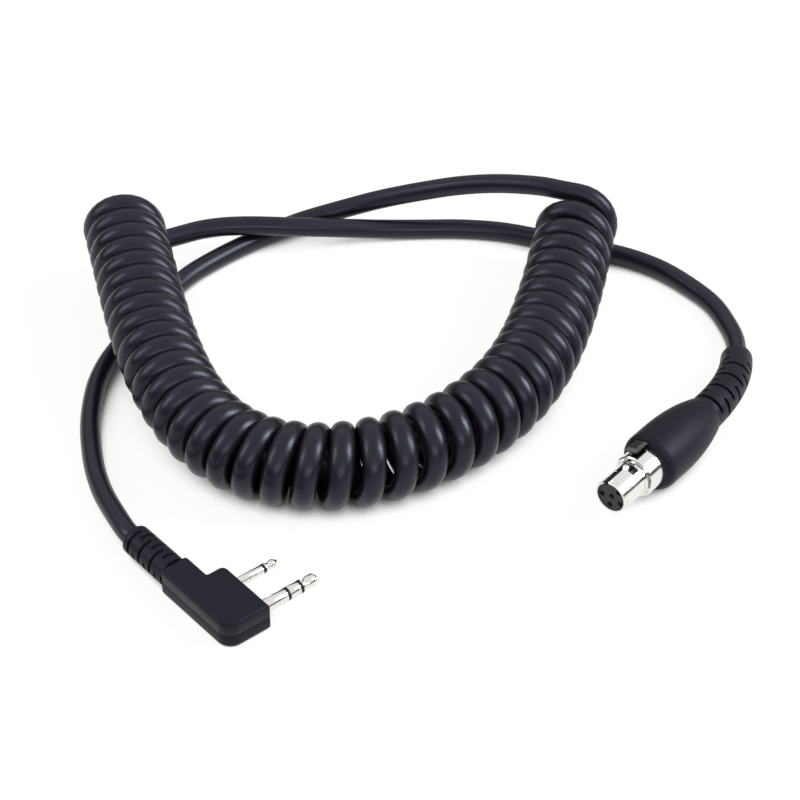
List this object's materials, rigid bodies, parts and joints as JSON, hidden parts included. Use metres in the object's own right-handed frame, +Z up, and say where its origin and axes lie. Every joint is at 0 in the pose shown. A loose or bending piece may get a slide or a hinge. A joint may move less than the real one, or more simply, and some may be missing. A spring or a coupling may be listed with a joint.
{
  "type": "coiled headset adapter cord",
  "caption": "Coiled black adapter cord with a moulded two-pin jack plug and a locking miniature cable connector with five sockets.",
  "frame": {"origin": "on the table, at the middle of the box round the plug, the connector and their strain reliefs", "axes": "+Z up from the table, +X from the plug towards the connector, +Y from the plug and the connector towards the coil's ends"},
  "size_m": [0.185, 0.1768, 0.0289],
  "materials": {
    "cord_jacket": "satin",
    "moulding": "satin",
    "insulator": "matte",
    "plated_brass": "polished",
    "plated_shell": "polished",
    "spring_steel": "satin",
    "contact_metal": "satin",
    "button_plastic": "gloss",
    "core_sheath": "satin"
  },
  "bodies": {
    "root": {"plug_body": "moulding", "plug_boot": "moulding", "pin_frame": "insulator", "plug_wires": "core_sheath", "big_jack_sleeve": "plated_brass", "big_jack_ring": "plated_brass", "big_jack_tip": "plated_brass", "big_jack_insulators": "insulator", "small_jack_sleeve": "plated_brass", "small_jack_tip": "plated_brass", "small_jack_insulator": "insulator", "plug_lead": "cord_jacket", "coil": "cord_jacket", "connector_lead": "cord_jacket", "connector_boot": "moulding", "connector_grip": "moulding", "cord_clamp": "spring_steel", "connector_wires": "core_sheath", "rear_shell": "plated_shell", "nose_shell": "plated_shell", "contact_insert": "insulator", "socket_contacts": "contact_metal", "latch_pin": "spring_steel"},
    "latch": {"latch_lever": "spring_steel", "release_button": "button_plastic"}
  },
  "joints": [
    {"name": "latch_press", "type": "hinge", "parent": "root", "child": "latch", "pos_m": [0.05591, 0.01227, 0.01124], "axis": [0.7507, -0.6079, 0.2588], "range_deg": [0, 3], "stiffness_Nm_per_rad": 0.5, "springref_deg": -1.15}
  ]
}
